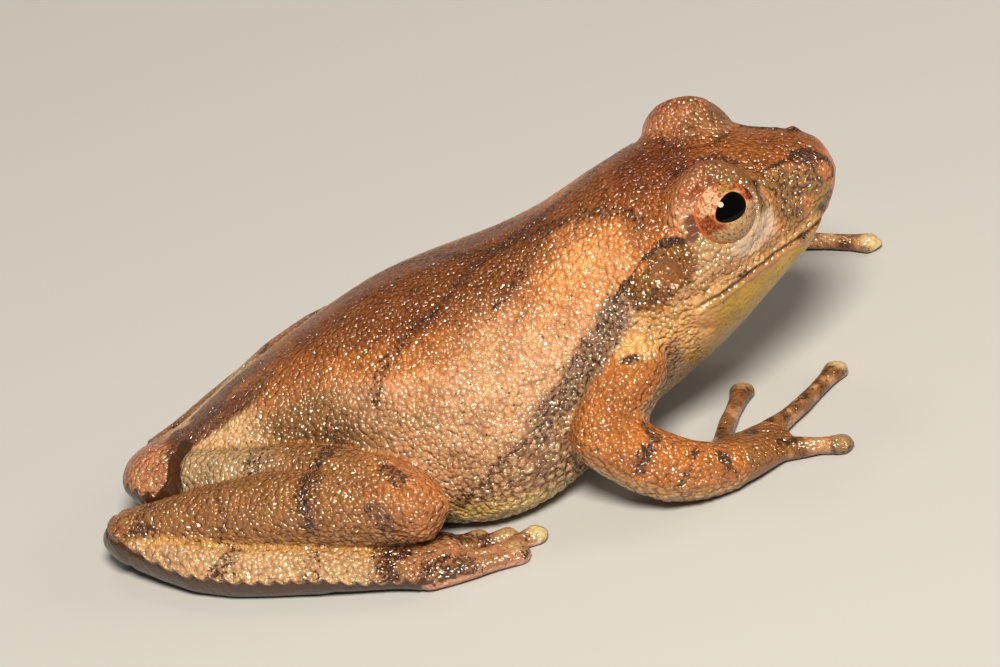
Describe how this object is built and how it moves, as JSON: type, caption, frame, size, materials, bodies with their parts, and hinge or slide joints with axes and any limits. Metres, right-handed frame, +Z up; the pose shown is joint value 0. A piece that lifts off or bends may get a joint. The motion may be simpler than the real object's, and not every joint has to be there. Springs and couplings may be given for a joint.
{
  "type": "tree frog",
  "caption": "Life-size still model of a small brown tree frog crouching, head raised, hind legs folded and fingers spread.",
  "frame": {"origin": "on the midline at the middle of the belly's resting flat, at the level of the surface under the frog", "axes": "+Z up; the snout points along -Y; the frog's left side is +X"},
  "size_m": [0.0209, 0.0324, 0.0112],
  "materials": {
    "back_skin": "moist, finely granular, satin with wet glints",
    "limb_skin": "moist, granular, satin with wet glints",
    "throat_skin": "moist, thin, lightly wrinkled",
    "digit_skin": "moist, smooth, slightly translucent",
    "eardrum_skin": "thin, smooth, moist",
    "eye": "wet, high gloss"
  },
  "bodies": {
    "root": {"head": "back_skin", "lower_jaw": "throat_skin", "trunk": "back_skin", "right_eye": "eye", "right_eardrum": "eardrum_skin", "right_upper_arm": "limb_skin", "right_forearm": "limb_skin", "right_hand": "limb_skin", "right_thigh": "limb_skin", "right_shank": "limb_skin", "right_tarsus": "limb_skin", "right_foot": "limb_skin", "right_finger_1": "digit_skin", "right_finger_2": "digit_skin", "right_finger_3": "digit_skin", "right_finger_4": "digit_skin", "right_toe_1": "digit_skin", "right_toe_2": "digit_skin", "right_toe_3": "digit_skin", "right_toe_4": "digit_skin", "right_toe_5": "digit_skin", "left_eye": "eye", "left_eardrum": "eardrum_skin", "left_upper_arm": "limb_skin", "left_forearm": "limb_skin", "left_hand": "limb_skin", "left_thigh": "limb_skin", "left_shank": "limb_skin", "left_tarsus": "limb_skin", "left_foot": "limb_skin", "left_finger_1": "digit_skin", "left_finger_2": "digit_skin", "left_finger_3": "digit_skin", "left_finger_4": "digit_skin", "left_toe_1": "digit_skin", "left_toe_2": "digit_skin", "left_toe_3": "digit_skin", "left_toe_4": "digit_skin", "left_toe_5": "digit_skin"}
  },
  "joints": []
}
